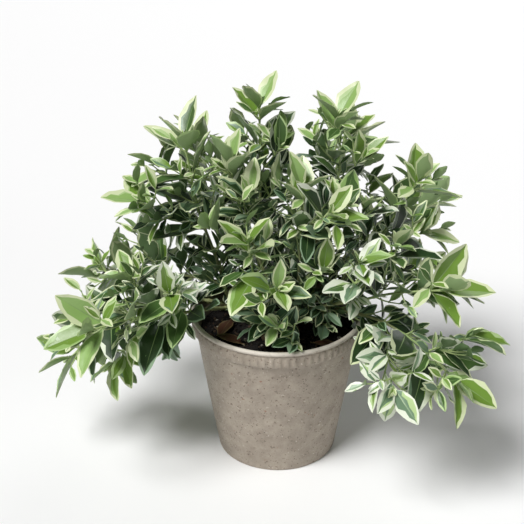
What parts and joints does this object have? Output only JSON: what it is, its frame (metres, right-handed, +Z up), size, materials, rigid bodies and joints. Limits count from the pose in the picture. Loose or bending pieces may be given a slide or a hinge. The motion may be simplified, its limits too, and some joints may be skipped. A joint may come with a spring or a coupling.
{
  "type": "potted variegated spindle shrub",
  "caption": "Young evergreen spindle with green and cream edged leaves on thin sprawling shoots, standing in a round taupe nursery pot.",
  "frame": {"origin": "middle of the pot's flat underside", "axes": "+Z up along the pot's axis, -Y towards the side that the picture shows"},
  "size_m": [0.2391, 0.1987, 0.1915],
  "materials": {
    "pot": "matte",
    "soil": "matte",
    "bark": "matte",
    "foliage": "satin"
  },
  "bodies": {
    "root": {"pot": "pot", "soil": "soil", "stem_middle": "bark", "stem_left": "bark", "stem_right": "bark", "stem_back_left": "bark", "stem_back_right": "bark", "stem_front": "bark", "bough_left_upright": "bark", "bough_left_front": "bark", "bough_middle_right": "bark", "bough_middle_left": "bark", "bough_right_front": "bark", "bough_right_back": "bark", "bough_back_left_low": "bark", "bough_back_left_top": "bark", "bough_back_low": "bark", "bough_back_right_top": "bark", "leaves_middle": "foliage", "leaves_left_trailing": "foliage", "leaves_right": "foliage", "leaves_back_left": "foliage", "leaves_back_right": "foliage", "leaves_front": "foliage", "leaves_left_upright": "foliage", "leaves_left_front": "foliage", "leaves_middle_right": "foliage", "leaves_middle_left": "foliage", "leaves_right_front": "foliage", "leaves_right_back": "foliage", "leaves_back_left_low": "foliage", "leaves_back_left_top": "foliage", "leaves_back_low": "foliage", "leaves_back_right_top": "foliage", "leaves_low_front": "foliage", "leaves_low_left": "foliage", "leaves_low_right": "foliage"}
  },
  "joints": []
}
